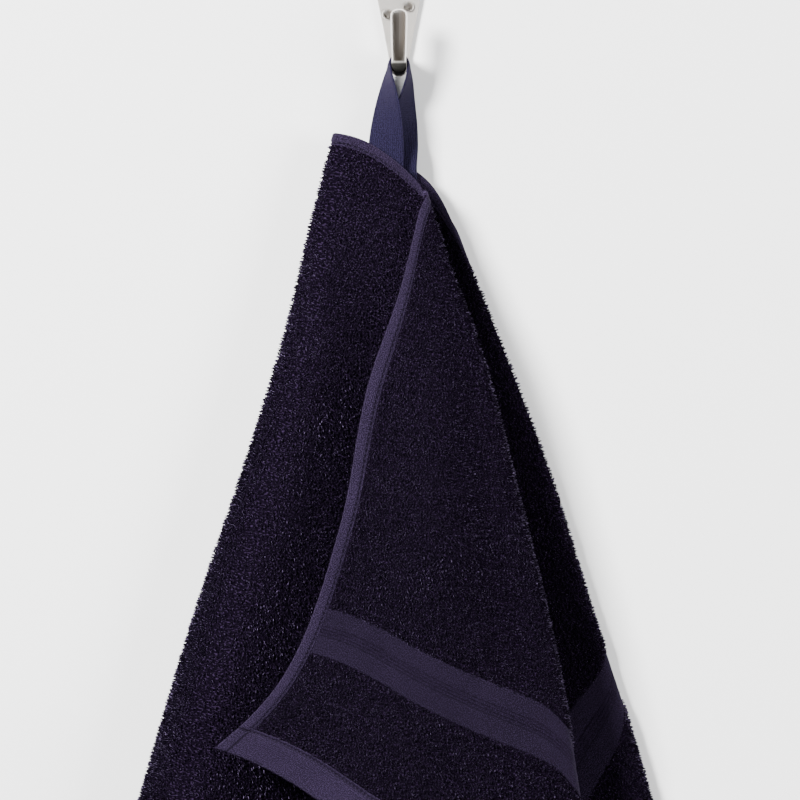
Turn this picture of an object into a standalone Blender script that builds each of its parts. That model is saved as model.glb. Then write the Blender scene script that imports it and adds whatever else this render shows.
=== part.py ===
"""Hand towel hanging by its sewn loop from a wall hook.

Metres, +Z up. The wall is at +Y and the viewer at -Y. The origin is on the back face of the hook's plate.
Lengths in the tables are millimetres. "out" is a distance from the wall.
"""

from collections import namedtuple
import math

import bpy
from mathutils import Vector
import numpy as np

MM = 0.001
WELD = 0.00001

# The cloth, laid flat: u runs along the edge that holds the loop, v away from it.
CLOTH_LENGTH = 710.0
CLOTH_WIDTH = 406.0
CLOTH_THICK = 3.0
ROWS = 22
SAMPLES = 2

# Each fold line leaves the looped edge at "start" and crosses the cloth at "angle" degrees.
# "turn" is the side the fold faces: 1 right, -1 left, 0 a free edge.
# x, z and out place it at each of these distances along it; gap parts the two layers it joins.
LEVELS = (0, 40, 100, 180, 270, 380, 560)
Fold = namedtuple("Fold", "name turn start angle x z out gap")
FOLDS = (
    Fold(
        "free hem", 0, 26, 0,
        (10.5, 1, -17.5, -33, -64, -138, -268),
        (-110, -149.5, -205, -283, -365, -435, -560),
        (34.5, 44.5, 56, 64, 70, 90, 118),
        (0, 0, 0, 0, 0, 0, 0),
    ),
    Fold(
        "front ridge", 1, 16, 42,
        (15.5, 29.5, 45, 65, 85.5, 103, 114),
        (-98, -134, -190, -268, -355, -464, -644),
        (32, 41.5, 50.5, 55.9, 58, 59.5, 61),
        (8, 10, 8.8, 8.8, 9.6, 10.1, 9.6),
    ),
    Fold(
        "left edge", -1, -40, 80,
        (-39.5, -51.5, -60.5, -83, -111.5, -143, -190),
        (-64.5, -107, -167, -243, -328, -434, -607),
        (23, 27, 32, 36, 38, 39, 40),
        (9.5, 11, 10.5, 10.5, 12, 12, 12),
    ),
    Fold(
        "back tuck, right", 1, -60, 104.5,
        (-13, -10, 7, 17, 31, 40, 68),
        (-79, -118, -177, -256, -345, -454, -633),
        (11.5, 15.3, 22.3, 25.5, 25.8, 26.8, 27.8),
        (0.2, 2.8, 6.4, 7.1, 7.2, 7.2, 7.2),
    ),
    Fold(
        "back tuck, left", -1, -68, 111,
        (-6, -3, -4, -2, 5, 3, 14),
        (-82, -122, -182, -262, -351, -461, -641),
        (11.3, 12.5, 15.9, 18.4, 18.6, 19.6, 20.6),
        (0.2, 2.8, 6.2, 7, 7, 7, 7.5),
    ),
    Fold(
        "right edge", 1, -130, 125,
        (37, 58.5, 80, 105, 126, 155, 204),
        (-133, -178, -247, -327, -392, -495, -668),
        (13.4, 13.6, 12.4, 12, 12, 13, 14),
        (9.4, 10, 8.8, 8.2, 8, 9, 10),
    ),
    Fold(
        "rear hem", 0, -150, 180,
        (26, 6, -27, -69, -119, -182, -285),
        (-150, -182, -231, -293, -362, -452, -600),
        (4.2, 3.8, 3.6, 3.5, 3.5, 3.5, 3.5),
        (0, 0, 0, 0, 0, 0, 0),
    ),
)

# What fills the cloth between one fold and the next: how far along, how far it swells from the wall near
# the loop and far from it, how far it bows past a straight line at the looped edge, and how much longer it runs.
Swell = namedtuple("Swell", "along out far bow longer")
LAYERS = (
    (Swell(0.25, 4, 10, 0, 0), Swell(0.5, 8, 9, 0, 0.03), Swell(0.75, 6, 9, 0, 0.005)),
    (
        Swell(0.22, -2, 1, -4, 0),
        Swell(0.42, -6, -6, -6, 0),
        Swell(0.6, -8, -10, -7, 0),
        Swell(0.74, 0, -3, -6, 0),
        Swell(0.87, 6, 4, -4, 0),
    ),
    (Swell(0.3, -1, 1, 0, 0), Swell(0.6, 0, -1, 0, 0)),
    (),
    (Swell(0.33, 1, 5, 34, 0), Swell(0.66, 1, -1, 0, 0)),
    (Swell(0.33, 0.5, 1, 0, 0), Swell(0.66, 0.5, 0, 0, 0)),
)
BOW_ENDS = 80.0
LONGER_FULL = 300.0
SWELL_STARTS = 20.0
SWELL_FULL = 170.0
FAR_STARTS = 240.0
FAR_FULL = 520.0
SQUARE_FROM = 60.0
RELAX = (3, 3, 0, 0, 0, 0, 0)
ROW_CROWDING = 1.15

# Each fold is four control lines, a wide and a tight one on each side. Their place is a share of the way to the
# next fold, kept in reach of the gap, and their start and angle turn with it.
FOLD_ROUND = 0.14
WIDE_SHARE = 0.42
WIDE_GAPS = 0.9
WIDE_LEAST = 2.4
WIDE_TURN = 0.12
TIGHT_SHARE = 0.1
TIGHT_MOST = 0.8
TIGHT_TURN = 0.02

# The tape: each row is a station from one sewn end, over the hook, to the other.
# x, z, out place its middle and turn is the angle of its width from straight across the wall.
TAPE_WIDTH = 20.0
TAPE_THICK = 1.1
Station = namedtuple("Station", "x z out turn")
TAPE = (
    Station(-8.5, -92.0, 20.9, 3),
    Station(-8.2, -84.0, 20.8, 4),
    Station(-7.8, -76.0, 20.3, 10),
    Station(-7.4, -64.0, 19.0, 28),
    Station(-6.9, -50.0, 17.0, 50),
    Station(-6.5, -38.0, 15.4, 71),
    Station(-6.1, -31.0, 14.9, 84),
    Station(-5.2, -25.4, 14.8, 89),
    Station(-0.6, -22.6, 14.8, 90),
    Station(4.0, -25.4, 14.8, 91),
    Station(4.9, -31.0, 14.7, 94),
    Station(4.9, -38.0, 14.0, 102),
    Station(3.3, -50.0, 12.0, 120),
    Station(1.5, -64.0, 12.0, 145),
    Station(0.2, -76.0, 15.4, 165),
    Station(-0.5, -84.0, 16.6, 172),
    Station(-0.6, -92.0, 17.2, 175),
)
TAPE_STEPS = 4
TAPE_COLUMNS = 5

# The hook: a tapered plate and a prong that leaves its foot and turns up.
HOOK_X = -0.6
PLATE_THICK = 3.0
PLATE_EDGE = 0.8
CORNER = math.radians(60)
PlateRow = namedtuple("PlateRow", "z half")
PLATE = (
    PlateRow(22.5, 4.5),
    PlateRow(21.3, 8.2),
    PlateRow(18.5, 11.0),
    PlateRow(14.5, 12.5),
    PlateRow(8.3, 11.9),
    PlateRow(-8.0, 8.6),
    PlateRow(-24.0, 5.7),
    PlateRow(-30.0, 4.9),
    PlateRow(-33.0, 3.4),
    PlateRow(-34.2, 1.6),
)
ProngRow = namedtuple("ProngRow", "z out size")
PRONG = (
    ProngRow(-28.4, 1.2, 1.0),
    ProngRow(-29.6, 8.0, 0.98),
    ProngRow(-30.4, 16.0, 0.96),
    ProngRow(-29.6, 23.0, 0.96),
    ProngRow(-26.0, 27.6, 0.98),
    ProngRow(-18.0, 29.8, 1.04),
    ProngRow(-8.0, 30.6, 1.12),
    ProngRow(-1.2, 31.0, 1.12),
    ProngRow(1.0, 31.1, 0.86),
    ProngRow(2.0, 31.15, 0.42),
)
PRONG_WIDTH = 8.2
PRONG_DEEP = 5.0
PRONG_SIDES = 20
PRONG_STEPS = 3

# The two screws.
ScrewRow = namedtuple("ScrewRow", "name x z")
SCREWS = (ScrewRow("screw_left", -7.0, 0.2), ScrewRow("screw_right", 4.6, 4.6))
SCREW_HEAD = 6.2
SCREW_DOME = 2.0
SCREW_RIM = 0.4
SCREW_SIDES = 28
DOME_STEPS = 6
SCREW_SHANK = 3.2
SCREW_GAP = 0.3
SLOT_LONG = 3.8
SLOT_WIDE = 0.9
SLOT_DEEP = 1.0

Finish = namedtuple("Finish", "color metallic roughness")
FINISHES = {
    "terry": Finish((0.014, 0.011, 0.045), 0.0, 0.95),
    "tape": Finish((0.022, 0.022, 0.085), 0.0, 0.85),
    "nickel": Finish((0.72, 0.70, 0.67), 1.0, 0.28),
}


def clear_scene():
    for obj in list(bpy.data.objects):
        bpy.data.objects.remove(obj, do_unlink=True)


def material(name, finish):
    made = bpy.data.materials.new(name)
    made.use_nodes = True
    shader = made.node_tree.nodes["Principled BSDF"]
    shader.inputs["Base Color"].default_value = (*finish.color, 1.0)
    shader.inputs["Metallic"].default_value = finish.metallic
    shader.inputs["Roughness"].default_value = finish.roughness
    return made


def smooth_at(xs, ys, x):
    """A curve through the points (xs, ys) whose slope never jumps, read at x."""
    xs = np.asarray(xs, float)
    ys = np.asarray(ys, float)
    slopes = np.gradient(ys, xs)
    x = np.clip(np.asarray(x, float), xs[0], xs[-1])
    i = np.clip(np.searchsorted(xs, x, side="right") - 1, 0, len(xs) - 2)
    step = xs[i + 1] - xs[i]
    t = (x - xs[i]) / step
    return (
        (2 * t**3 - 3 * t**2 + 1) * ys[i]
        + (t**3 - 2 * t**2 + t) * step * slopes[i]
        + (3 * t**2 - 2 * t**3) * ys[i + 1]
        + (t**3 - t**2) * step * slopes[i + 1]
    )


def growing(r, starts, full):
    t = np.clip((np.asarray(r, float) - starts) / (full - starts), 0, 1)
    return t * t * (3 - 2 * t)


def spread(first, second, along):
    """The line a share of the way from one fold to the next, keeping its distance from their starts."""
    start = first[0] + (second[0] - first[0]) * along
    a = first - first[0]
    b = second - second[0]
    mixed = a + (b - a) * along
    far = np.hypot(a[:, 0], a[:, 1]) * (1 - along) + np.hypot(b[:, 0], b[:, 1]) * along
    now = np.hypot(mixed[:, 0], mixed[:, 1])
    grow = np.where(now > 1e-6, far / np.maximum(now, 1e-6), 1.0)
    return start + mixed * grow[:, None]


def beside(path, near, share, most):
    """Steps from a fold line towards its neighbour: straight at it by the loop, square to the line further down."""
    along = np.gradient(path, np.array(LEVELS, float), axis=0)
    along = along / np.hypot(along[:, 0], along[:, 1])[:, None]
    right = np.column_stack([-along[:, 1], along[:, 0]])
    toward = near - path
    far = np.hypot(toward[:, 0], toward[:, 1])
    straight = toward / far[:, None] * np.minimum(share * far, most)[:, None]
    across = np.sum(toward * right, axis=1)
    square = right * np.clip(share * across, -most, most)[:, None]
    down = growing(LEVELS, 0.0, SQUARE_FROM)[:, None]
    return straight * (1 - down) + square * down


def control_lines():
    """Every control line of the sheet in order: (start, angle, points at LEVELS as x, z, out)."""
    lines = []
    paths = [np.column_stack([fold.x, fold.z]).astype(float) for fold in FOLDS]
    for i, fold in enumerate(FOLDS):
        out = np.array(fold.out, float)
        gap = np.array(fold.gap, float)
        if fold.turn == 0:
            lines.append((fold.start, fold.angle, np.column_stack([paths[i], out])))
        else:
            for side, near, layer in ((-1, i - 1, out), (1, i + 1, out - gap)):
                turn = FOLDS[near].angle - fold.angle
                rounding = side * FOLD_ROUND * gap
                wide_most = np.maximum(WIDE_GAPS * gap, WIDE_LEAST)
                tight_most = np.clip(TIGHT_MOST - gap, 0, None)
                wide = beside(paths[i], paths[near], WIDE_SHARE, wide_most)
                tight = beside(paths[i], paths[near], TIGHT_SHARE, tight_most)
                steps = ((wide, WIDE_TURN, 0.0), (tight, TIGHT_TURN, rounding))
                for step, share, shift in steps if side < 0 else steps[::-1]:
                    start = fold.start + (FOLDS[near].start - fold.start) * share
                    place = np.column_stack([paths[i] + step, layer + shift])
                    lines.append((start, fold.angle + turn * share, place))
        if i < len(LAYERS):
            after = FOLDS[i + 1]
            for swell in LAYERS[i]:
                place = spread(paths[i], paths[i + 1], swell.along)
                run = (place - place[0]) * (1 + swell.longer * growing(LEVELS, 0.0, LONGER_FULL))[:, None]
                chord = paths[i + 1][0] - paths[i][0]
                normal = np.array([-chord[1], chord[0]]) / np.hypot(*chord)
                fade = 1 - growing(LEVELS, 0.0, BOW_ENDS)
                place = place[0] + run + normal * swell.bow * fade[:, None]
                layer = (out - gap) * (1 - swell.along) + np.array(after.out, float) * swell.along
                layer = layer + swell.out * growing(LEVELS, SWELL_STARTS, SWELL_FULL)
                layer = layer + swell.far * growing(LEVELS, FAR_STARTS, FAR_FULL)
                lines.append(
                    (
                        fold.start + (after.start - fold.start) * swell.along,
                        fold.angle + (after.angle - fold.angle) * swell.along,
                        np.column_stack([place, layer]),
                    )
                )
    return lines


def reach(start, angle):
    """How far a line from the looped edge runs before it leaves the cloth."""
    across = math.cos(math.radians(angle))
    up = math.sin(math.radians(angle))
    far = 1e9
    if up > 1e-6:
        far = CLOTH_WIDTH / up
    if across > 1e-6:
        far = min(far, (CLOTH_LENGTH / 2 - start) / across)
    if across < -1e-6:
        far = min(far, (-CLOTH_LENGTH / 2 - start) / across)
    return far


class Sheet:
    """The folded cloth: place(s, t) gives a point in millimetres and where it lies on the flat cloth."""

    def __init__(self):
        lines = control_lines()
        self.starts = self.padded(np.array([line[0] for line in lines], float)[:, None])[:, 0]
        self.angles = self.padded(np.array([line[1] for line in lines], float)[:, None])[:, 0]
        self.points = self.padded(self.relaxed(np.array([line[2] for line in lines], float)))
        self.spans = len(lines) - 1

    @staticmethod
    def relaxed(points):
        """The gathered cloth by the loop, with its control lines drawn a little towards their neighbours."""
        points = points.copy()
        for level, passes in enumerate(RELAX):
            for _ in range(passes):
                row = points[:, level]
                points[1:-1, level] = row[1:-1] / 2 + (row[:-2] + row[2:]) / 4
        return points

    @staticmethod
    def padded(values):
        return np.concatenate([[2 * values[0] - values[1]], values, [2 * values[-1] - values[-2]]])

    def weights(self, s):
        i = min(int(s), self.spans - 1)
        t = s - i
        return i, np.array(
            [
                (1 - t) ** 3,
                3 * t**3 - 6 * t**2 + 4,
                -3 * t**3 + 3 * t**2 + 3 * t + 1,
                t**3,
            ]
        ) / 6

    def line(self, s):
        i, w = self.weights(s)
        return float(w @ self.starts[i : i + 4]), float(w @ self.angles[i : i + 4])

    def place(self, s, shares):
        i, w = self.weights(s)
        start, angle = self.line(s)
        r = reach(start, angle) * np.asarray(shares, float)
        place = np.zeros((len(r), 3))
        for k in range(4):
            for axis in range(3):
                place[:, axis] += w[k] * smooth_at(LEVELS, self.points[i + k][:, axis], r)
        u = start + r * math.cos(math.radians(angle))
        v = r * math.sin(math.radians(angle))
        return place, np.column_stack([u, v])

    def corner(self, side):
        """The s whose line runs into the far corner on this side."""
        low, high = 0.0, float(self.spans)
        for _ in range(60):
            s = (low + high) / 2
            start, angle = self.line(s)
            aim = math.degrees(math.atan2(CLOTH_WIDTH, side * CLOTH_LENGTH / 2 - start))
            if angle < aim:
                low = s
            else:
                high = s
        return (low + high) / 2

    def columns(self, samples):
        s = np.linspace(0, self.spans, self.spans * samples + 1)
        for side in (1, -1):
            aim = self.corner(side)
            s[np.argmin(abs(s - aim))] = aim
        return s


def grid_mesh(name, points, smooth=True):
    """A mesh of quads from a (columns, rows, 3) array in metres."""
    columns, rows = points.shape[:2]
    faces = []
    for i in range(columns - 1):
        for j in range(rows - 1):
            a = i * rows + j
            faces.append((a, a + 1, a + rows + 1, a + rows))
    mesh = bpy.data.meshes.new(name)
    mesh.from_pydata([tuple(p) for p in points.reshape(-1, 3)], [], faces)
    mesh.polygons.foreach_set("use_smooth", [smooth] * len(mesh.polygons))
    mesh.update()
    return mesh


def in_row_frame(place):
    """x, z, out in millimetres to x, y, z in metres."""
    return np.stack([place[..., 0], -place[..., 2], place[..., 1]], axis=-1) * MM


def add(name, data, home):
    obj = bpy.data.objects.new(name, data)
    home.objects.link(obj)
    return obj


def applied(obj):
    """Turns the object's modifiers into its own mesh."""
    graph = bpy.context.evaluated_depsgraph_get()
    mesh = bpy.data.meshes.new_from_object(obj.evaluated_get(graph))
    obj.modifiers.clear()
    obj.data = mesh
    return obj


def thicken(obj, thick):
    solid = obj.modifiers.new("Solidify", "SOLIDIFY")
    solid.thickness = thick
    solid.offset = 0.0
    solid.use_quality_normals = True
    return applied(obj)


def build_towel(home):
    sheet = Sheet()
    shares = np.linspace(0, 1, ROWS + 1) ** ROW_CROWDING
    places = [sheet.place(s, shares)[0] for s in sheet.columns(SAMPLES)]
    mesh = grid_mesh("towel", in_row_frame(np.array(places)))
    return thicken(add("towel", mesh, home), CLOTH_THICK * MM)


def build_loop(home):
    rows = np.array(TAPE, float)
    steps = np.linspace(0, len(TAPE) - 1, (len(TAPE) - 1) * TAPE_STEPS + 1)
    along = np.arange(len(TAPE))
    x, z, out, turn = [smooth_at(along, rows[:, k], steps) for k in range(4)]
    turn = np.radians(turn)
    places = []
    for share in np.linspace(-0.5, 0.5, TAPE_COLUMNS):
        across = np.cos(turn) * share * TAPE_WIDTH
        deep = np.sin(turn) * share * TAPE_WIDTH
        places.append(np.column_stack([x + across, z, out + deep]))
    mesh = grid_mesh("hanging_loop", in_row_frame(np.array(places)))
    return thicken(add("hanging_loop", mesh, home), TAPE_THICK * MM)


def outline_mesh(name, outline, back, front):
    """A flat piece: an outline of (x, z) in metres between two distances from the wall."""
    n = len(outline)
    points = [(x, -back, z) for x, z in outline] + [(x, -front, z) for x, z in outline]
    faces = [tuple(range(n)), tuple(range(2 * n - 1, n - 1, -1))]
    for i in range(n):
        j = (i + 1) % n
        faces.append((i, n + i, n + j, j))
    mesh = bpy.data.meshes.new(name)
    mesh.from_pydata(points, [], faces)
    mesh.update()
    return mesh


def face_out(obj):
    """Turns all faces of a closed mesh to look outwards."""
    bpy.ops.object.select_all(action="DESELECT")
    bpy.context.view_layer.objects.active = obj
    obj.select_set(True)
    bpy.ops.object.mode_set(mode="EDIT")
    bpy.ops.mesh.select_all(action="SELECT")
    bpy.ops.mesh.normals_make_consistent(inside=False)
    bpy.ops.object.mode_set(mode="OBJECT")
    return obj


def boolean(obj, other, operation):
    change = obj.modifiers.new("Boolean", "BOOLEAN")
    change.operation = operation
    change.solver = "EXACT"
    change.object = other
    applied(obj)
    bpy.data.objects.remove(other, do_unlink=True)
    return obj


def build_plate(home):
    zs = np.array([row.z for row in PLATE], float)
    halves = np.array([row.half for row in PLATE], float)
    outline = [((HOOK_X + half) * MM, z * MM) for z, half in zip(zs, halves)]
    outline += [((HOOK_X - half) * MM, z * MM) for z, half in zip(zs[::-1], halves[::-1])]
    plate = add("hook", outline_mesh("hook", outline, 0.0, PLATE_THICK * MM), home)
    face_out(plate)
    edge = plate.modifiers.new("Bevel", "BEVEL")
    edge.width = PLATE_EDGE * MM
    edge.segments = 2
    edge.limit_method = "ANGLE"
    edge.angle_limit = CORNER
    return applied(plate)


def build_prong(home):
    rows = np.array(PRONG, float)
    steps = np.linspace(0, len(PRONG) - 1, (len(PRONG) - 1) * PRONG_STEPS + 1)
    along = np.arange(len(PRONG))
    z, out, size = [smooth_at(along, rows[:, k], steps) for k in range(3)]
    dz = np.gradient(z)
    dout = np.gradient(out)
    length = np.hypot(dz, dout)
    angles = np.linspace(0, 2 * math.pi, PRONG_SIDES, endpoint=False)
    points = []
    for k in range(len(steps)):
        for angle in angles:
            wide = math.cos(angle) * PRONG_WIDTH / 2 * size[k]
            deep = math.sin(angle) * PRONG_DEEP / 2 * size[k]
            points.append(
                (
                    (HOOK_X + wide) * MM,
                    -(out[k] - deep * dz[k] / length[k]) * MM,
                    (z[k] + deep * dout[k] / length[k]) * MM,
                )
            )
    n = PRONG_SIDES
    faces = [tuple(range(n)), tuple(range(len(points) - 1, len(points) - n - 1, -1))]
    for k in range(len(steps) - 1):
        for i in range(n):
            j = (i + 1) % n
            faces.append((k * n + i, (k + 1) * n + i, (k + 1) * n + j, k * n + j))
    mesh = bpy.data.meshes.new("prong")
    mesh.from_pydata(points, [], faces)
    mesh.update()
    return face_out(add("prong", mesh, home))


def cylinder(name, x, z, radius, back, front, home, sides=32):
    outline = []
    for i in range(sides):
        angle = 2 * math.pi * i / sides
        outline.append(((x + radius * math.cos(angle)) * MM, (z + radius * math.sin(angle)) * MM))
    return face_out(add(name, outline_mesh(name, outline, back * MM, front * MM), home))


def build_hook(home):
    hook = boolean(build_plate(home), build_prong(home), "UNION")
    for row in SCREWS:
        hole = cylinder(
            "hole", row.x, row.z, SCREW_SHANK / 2 + SCREW_GAP, -1.0, PLATE_THICK + 1.0, home
        )
        boolean(hook, hole, "DIFFERENCE")
    return hook


def dome(name, x, z, home):
    """A screw's head and shank, turned about its own axis."""
    foot = PLATE_THICK + SCREW_GAP
    profile = [(0.0, 0.0), (SCREW_SHANK / 2, 0.0), (SCREW_SHANK / 2, foot), (SCREW_HEAD / 2, foot)]
    for i in range(1, DOME_STEPS + 1):
        angle = math.pi / 2 * i / DOME_STEPS
        out = foot + SCREW_RIM + SCREW_DOME * math.sin(angle)
        profile.append((SCREW_HEAD / 2 * math.cos(angle), out))
    mesh = bpy.data.meshes.new(name)
    points = [(radius * MM, 0.0, out * MM) for radius, out in profile]
    points[-1] = (0.0, 0.0, points[-1][2])
    mesh.from_pydata(points, [(i, i + 1) for i in range(len(points) - 1)], [])
    screw = add(name, mesh, home)
    spin = screw.modifiers.new("Screw", "SCREW")
    spin.axis = "Z"
    spin.steps = SCREW_SIDES
    spin.render_steps = SCREW_SIDES
    spin.use_merge_vertices = True
    spin.merge_threshold = WELD
    applied(screw)
    face_out(screw)
    for vertex in screw.data.vertices:
        px, py, pz = vertex.co
        vertex.co = Vector((px + x * MM, -pz, py + z * MM))
    return face_out(screw)


def build_screw(row, home):
    screw = dome(row.name, row.x, row.z, home)
    top = PLATE_THICK + SCREW_GAP + SCREW_RIM + SCREW_DOME
    for wide, high in ((SLOT_LONG, SLOT_WIDE), (SLOT_WIDE, SLOT_LONG)):
        outline = [
            ((row.x + sx * wide / 2) * MM, (row.z + sz * high / 2) * MM)
            for sx, sz in ((-1, -1), (1, -1), (1, 1), (-1, 1))
        ]
        slot = face_out(
            add("slot", outline_mesh("slot", outline, (top - SLOT_DEEP) * MM, (top + 1) * MM), home)
        )
        boolean(screw, slot, "DIFFERENCE")
    return screw


def main():
    clear_scene()
    home = bpy.data.collections.new("hand_towel_on_a_wall_hook")
    bpy.context.scene.collection.children.link(home)
    looks = {name: material(name, finish) for name, finish in FINISHES.items()}
    made = [
        (build_towel(home), "terry"),
        (build_loop(home), "tape"),
        (build_hook(home), "nickel"),
    ]
    for row in SCREWS:
        made.append((build_screw(row, home), "nickel"))
    for obj, look in made:
        obj.data.materials.clear()
        obj.data.materials.append(looks[look])


main()
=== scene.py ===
"""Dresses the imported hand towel: terry pile, hems, woven borders, twill loop, nickel hook and screws.

Every piece follows one folded sheet, the same that the solids were made from. Metres and +Z up in the scene;
the cloth's own tables and its flat coordinates are in millimetres, and "out" is a distance from the wall.
"""
from collections import namedtuple
import math

import bmesh
import bpy
from bpy.props import FloatProperty, FloatVectorProperty, IntProperty
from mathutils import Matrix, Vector
from mathutils.bvhtree import BVHTree
import numpy as np


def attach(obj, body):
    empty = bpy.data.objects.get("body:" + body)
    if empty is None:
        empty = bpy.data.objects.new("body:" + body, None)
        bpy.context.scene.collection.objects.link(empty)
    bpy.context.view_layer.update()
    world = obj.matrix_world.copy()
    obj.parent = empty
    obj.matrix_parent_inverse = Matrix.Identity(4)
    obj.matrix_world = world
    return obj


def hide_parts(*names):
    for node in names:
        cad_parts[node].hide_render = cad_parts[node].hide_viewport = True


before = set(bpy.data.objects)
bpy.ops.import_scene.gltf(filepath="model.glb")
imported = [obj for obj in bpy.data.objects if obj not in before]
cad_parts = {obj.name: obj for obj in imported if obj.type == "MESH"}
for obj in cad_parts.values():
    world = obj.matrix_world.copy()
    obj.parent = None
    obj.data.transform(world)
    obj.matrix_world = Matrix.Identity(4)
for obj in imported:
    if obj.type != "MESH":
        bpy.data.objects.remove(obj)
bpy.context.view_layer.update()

bl_info = {
    "name": "Hand towel on a wall hook",
    "version": (1, 0, 0),
    "blender": (4, 5, 0),
    "location": "3D View > Sidebar > Towel",
    "description": "Terry cloth, hems, borders, hanging loop and hook around a packed frame",
    "category": "Mesh",
}

MM = 0.001

# The cloth, laid flat: u runs along the edge that holds the loop, v away from it.
CLOTH_LENGTH = 710.0
CLOTH_WIDTH = 406.0

# Each fold line leaves the looped edge at "start" and crosses the cloth at "angle" degrees.
# "turn" is the side the fold faces: 1 right, -1 left, 0 a free edge.
# x, z and out place it at each of these distances along it; gap parts the two layers it joins.
LEVELS = np.array([0, 40, 100, 180, 270, 380, 560], float)
Fold = namedtuple("Fold", "name turn start angle x z out gap")
FOLDS = (
    Fold(
        "free hem", 0, 26, 0,
        (10.5, 1, -17.5, -33, -64, -138, -268),
        (-110, -149.5, -205, -283, -365, -435, -560),
        (34.5, 44.5, 56, 64, 70, 90, 118),
        (0, 0, 0, 0, 0, 0, 0),
    ),
    Fold(
        "front ridge", 1, 16, 42,
        (15.5, 29.5, 45, 65, 85.5, 103, 114),
        (-98, -134, -190, -268, -355, -464, -644),
        (32, 41.5, 50.5, 55.9, 58, 59.5, 61),
        (8, 10, 8.8, 8.8, 9.6, 10.1, 9.6),
    ),
    Fold(
        "left edge", -1, -40, 80,
        (-39.5, -51.5, -60.5, -83, -111.5, -143, -190),
        (-64.5, -107, -167, -243, -328, -434, -607),
        (23, 27, 32, 36, 38, 39, 40),
        (9.5, 11, 10.5, 10.5, 12, 12, 12),
    ),
    Fold(
        "back tuck, right", 1, -60, 104.5,
        (-13, -10, 7, 17, 31, 40, 68),
        (-79, -118, -177, -256, -345, -454, -633),
        (11.5, 15.3, 22.3, 25.5, 25.8, 26.8, 27.8),
        (0.2, 2.8, 6.4, 7.1, 7.2, 7.2, 7.2),
    ),
    Fold(
        "back tuck, left", -1, -68, 111,
        (-6, -3, -4, -2, 5, 3, 14),
        (-82, -122, -182, -262, -351, -461, -641),
        (11.3, 12.5, 15.9, 18.4, 18.6, 19.6, 20.6),
        (0.2, 2.8, 6.2, 7, 7, 7, 7.5),
    ),
    Fold(
        "right edge", 1, -130, 125,
        (37, 58.5, 80, 105, 126, 155, 204),
        (-133, -178, -247, -327, -392, -495, -668),
        (13.4, 13.6, 12.4, 12, 12, 13, 14),
        (9.4, 10, 8.8, 8.2, 8, 9, 10),
    ),
    Fold(
        "rear hem", 0, -150, 180,
        (26, 6, -27, -69, -119, -182, -285),
        (-150, -182, -231, -293, -362, -452, -600),
        (4.2, 3.8, 3.6, 3.5, 3.5, 3.5, 3.5),
        (0, 0, 0, 0, 0, 0, 0),
    ),
)

# What fills the cloth between one fold and the next: how far along, how far it swells from the wall near the
# loop and far from it, how far it bows past a straight line at the looped edge, and how much longer it runs.
Swell = namedtuple("Swell", "along out far bow longer")
LAYERS = (
    (Swell(0.25, 4, 10, 0, 0), Swell(0.5, 8, 9, 0, 0.03), Swell(0.75, 6, 9, 0, 0.005)),
    (
        Swell(0.22, -2, 1, -4, 0),
        Swell(0.42, -6, -6, -6, 0),
        Swell(0.6, -8, -10, -7, 0),
        Swell(0.74, 0, -3, -6, 0),
        Swell(0.87, 6, 4, -4, 0),
    ),
    (Swell(0.3, -1, 1, 0, 0), Swell(0.6, 0, -1, 0, 0)),
    (),
    (Swell(0.33, 1, 5, 34, 0), Swell(0.66, 1, -1, 0, 0)),
    (Swell(0.33, 0.5, 1, 0, 0), Swell(0.66, 0.5, 0, 0, 0)),
)
LAYER_NAMES = ("flap", "left_panel", "back_left", "back_tuck", "back_right", "rear")

# Distances from the looped edge over which a layer's bow ends, its longer run and its swells come in full,
# and from which the steps beside a fold are square to it.
BOW_ENDS = 80.0
LONGER_FULL = 300.0
SWELL_STARTS = 20.0
SWELL_FULL = 170.0
FAR_STARTS = 240.0
FAR_FULL = 520.0
SQUARE_FROM = 60.0

# How often the control lines are drawn together at each of LEVELS.
RELAX = (3, 3, 0, 0, 0, 0, 0)

# How far apart the places are whose difference gives a direction along the sheet, and how often find halves.
STEP_S = 0.03
STEP_R = 0.6
HALVINGS = 40

# A fold's four control lines: a wide and a tight one on each side, as shares of the way to the next fold,
# with their limits in gaps or millimetres and how far their angles turn towards it.
FOLD_ROUND = 0.14
WIDE_SHARE = 0.42
WIDE_GAPS = 0.9
WIDE_LEAST = 2.4
WIDE_TURN = 0.12
TIGHT_SHARE = 0.1
TIGHT_MOST = 0.8
TIGHT_TURN = 0.02

# Soft creases laid on the layers: where they run between two folds, from and to which distance from
# the looped edge, how wide they are there and how deep. A plus is a ridge towards the viewer's side.
Crease = namedtuple("Crease", "layer along lean starts ends wide deep")
CREASES = (
    Crease("flap", 0.62, 0.05, 60, 330, 0.10, -1.6),
    Crease("flap", 0.38, -0.05, 110, 420, 0.12, 1.5),
    Crease("flap", 0.86, 0.02, 150, 460, 0.07, 1.4),
    Crease("left_panel", 0.56, 0.06, 80, 330, 0.06, -1.5),
    Crease("left_panel", 0.74, 0.04, 50, 260, 0.05, 1.3),
    Crease("left_panel", 0.86, -0.05, 160, 460, 0.05, -1.4),
    Crease("back_right", 0.45, 0.10, 90, 400, 0.15, 1.5),
    Crease("rear", 0.35, 0.06, 120, 420, 0.12, 1.0),
    Crease("rear", 0.70, -0.04, 80, 300, 0.12, -1.0),
)

# Where the hems and the woven borders lie on the flat cloth.
SIDE_HEM = 10.5
END_HEM = 20.0
BORDER_FROM = 252.0
BORDER_TO = 279.0

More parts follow.
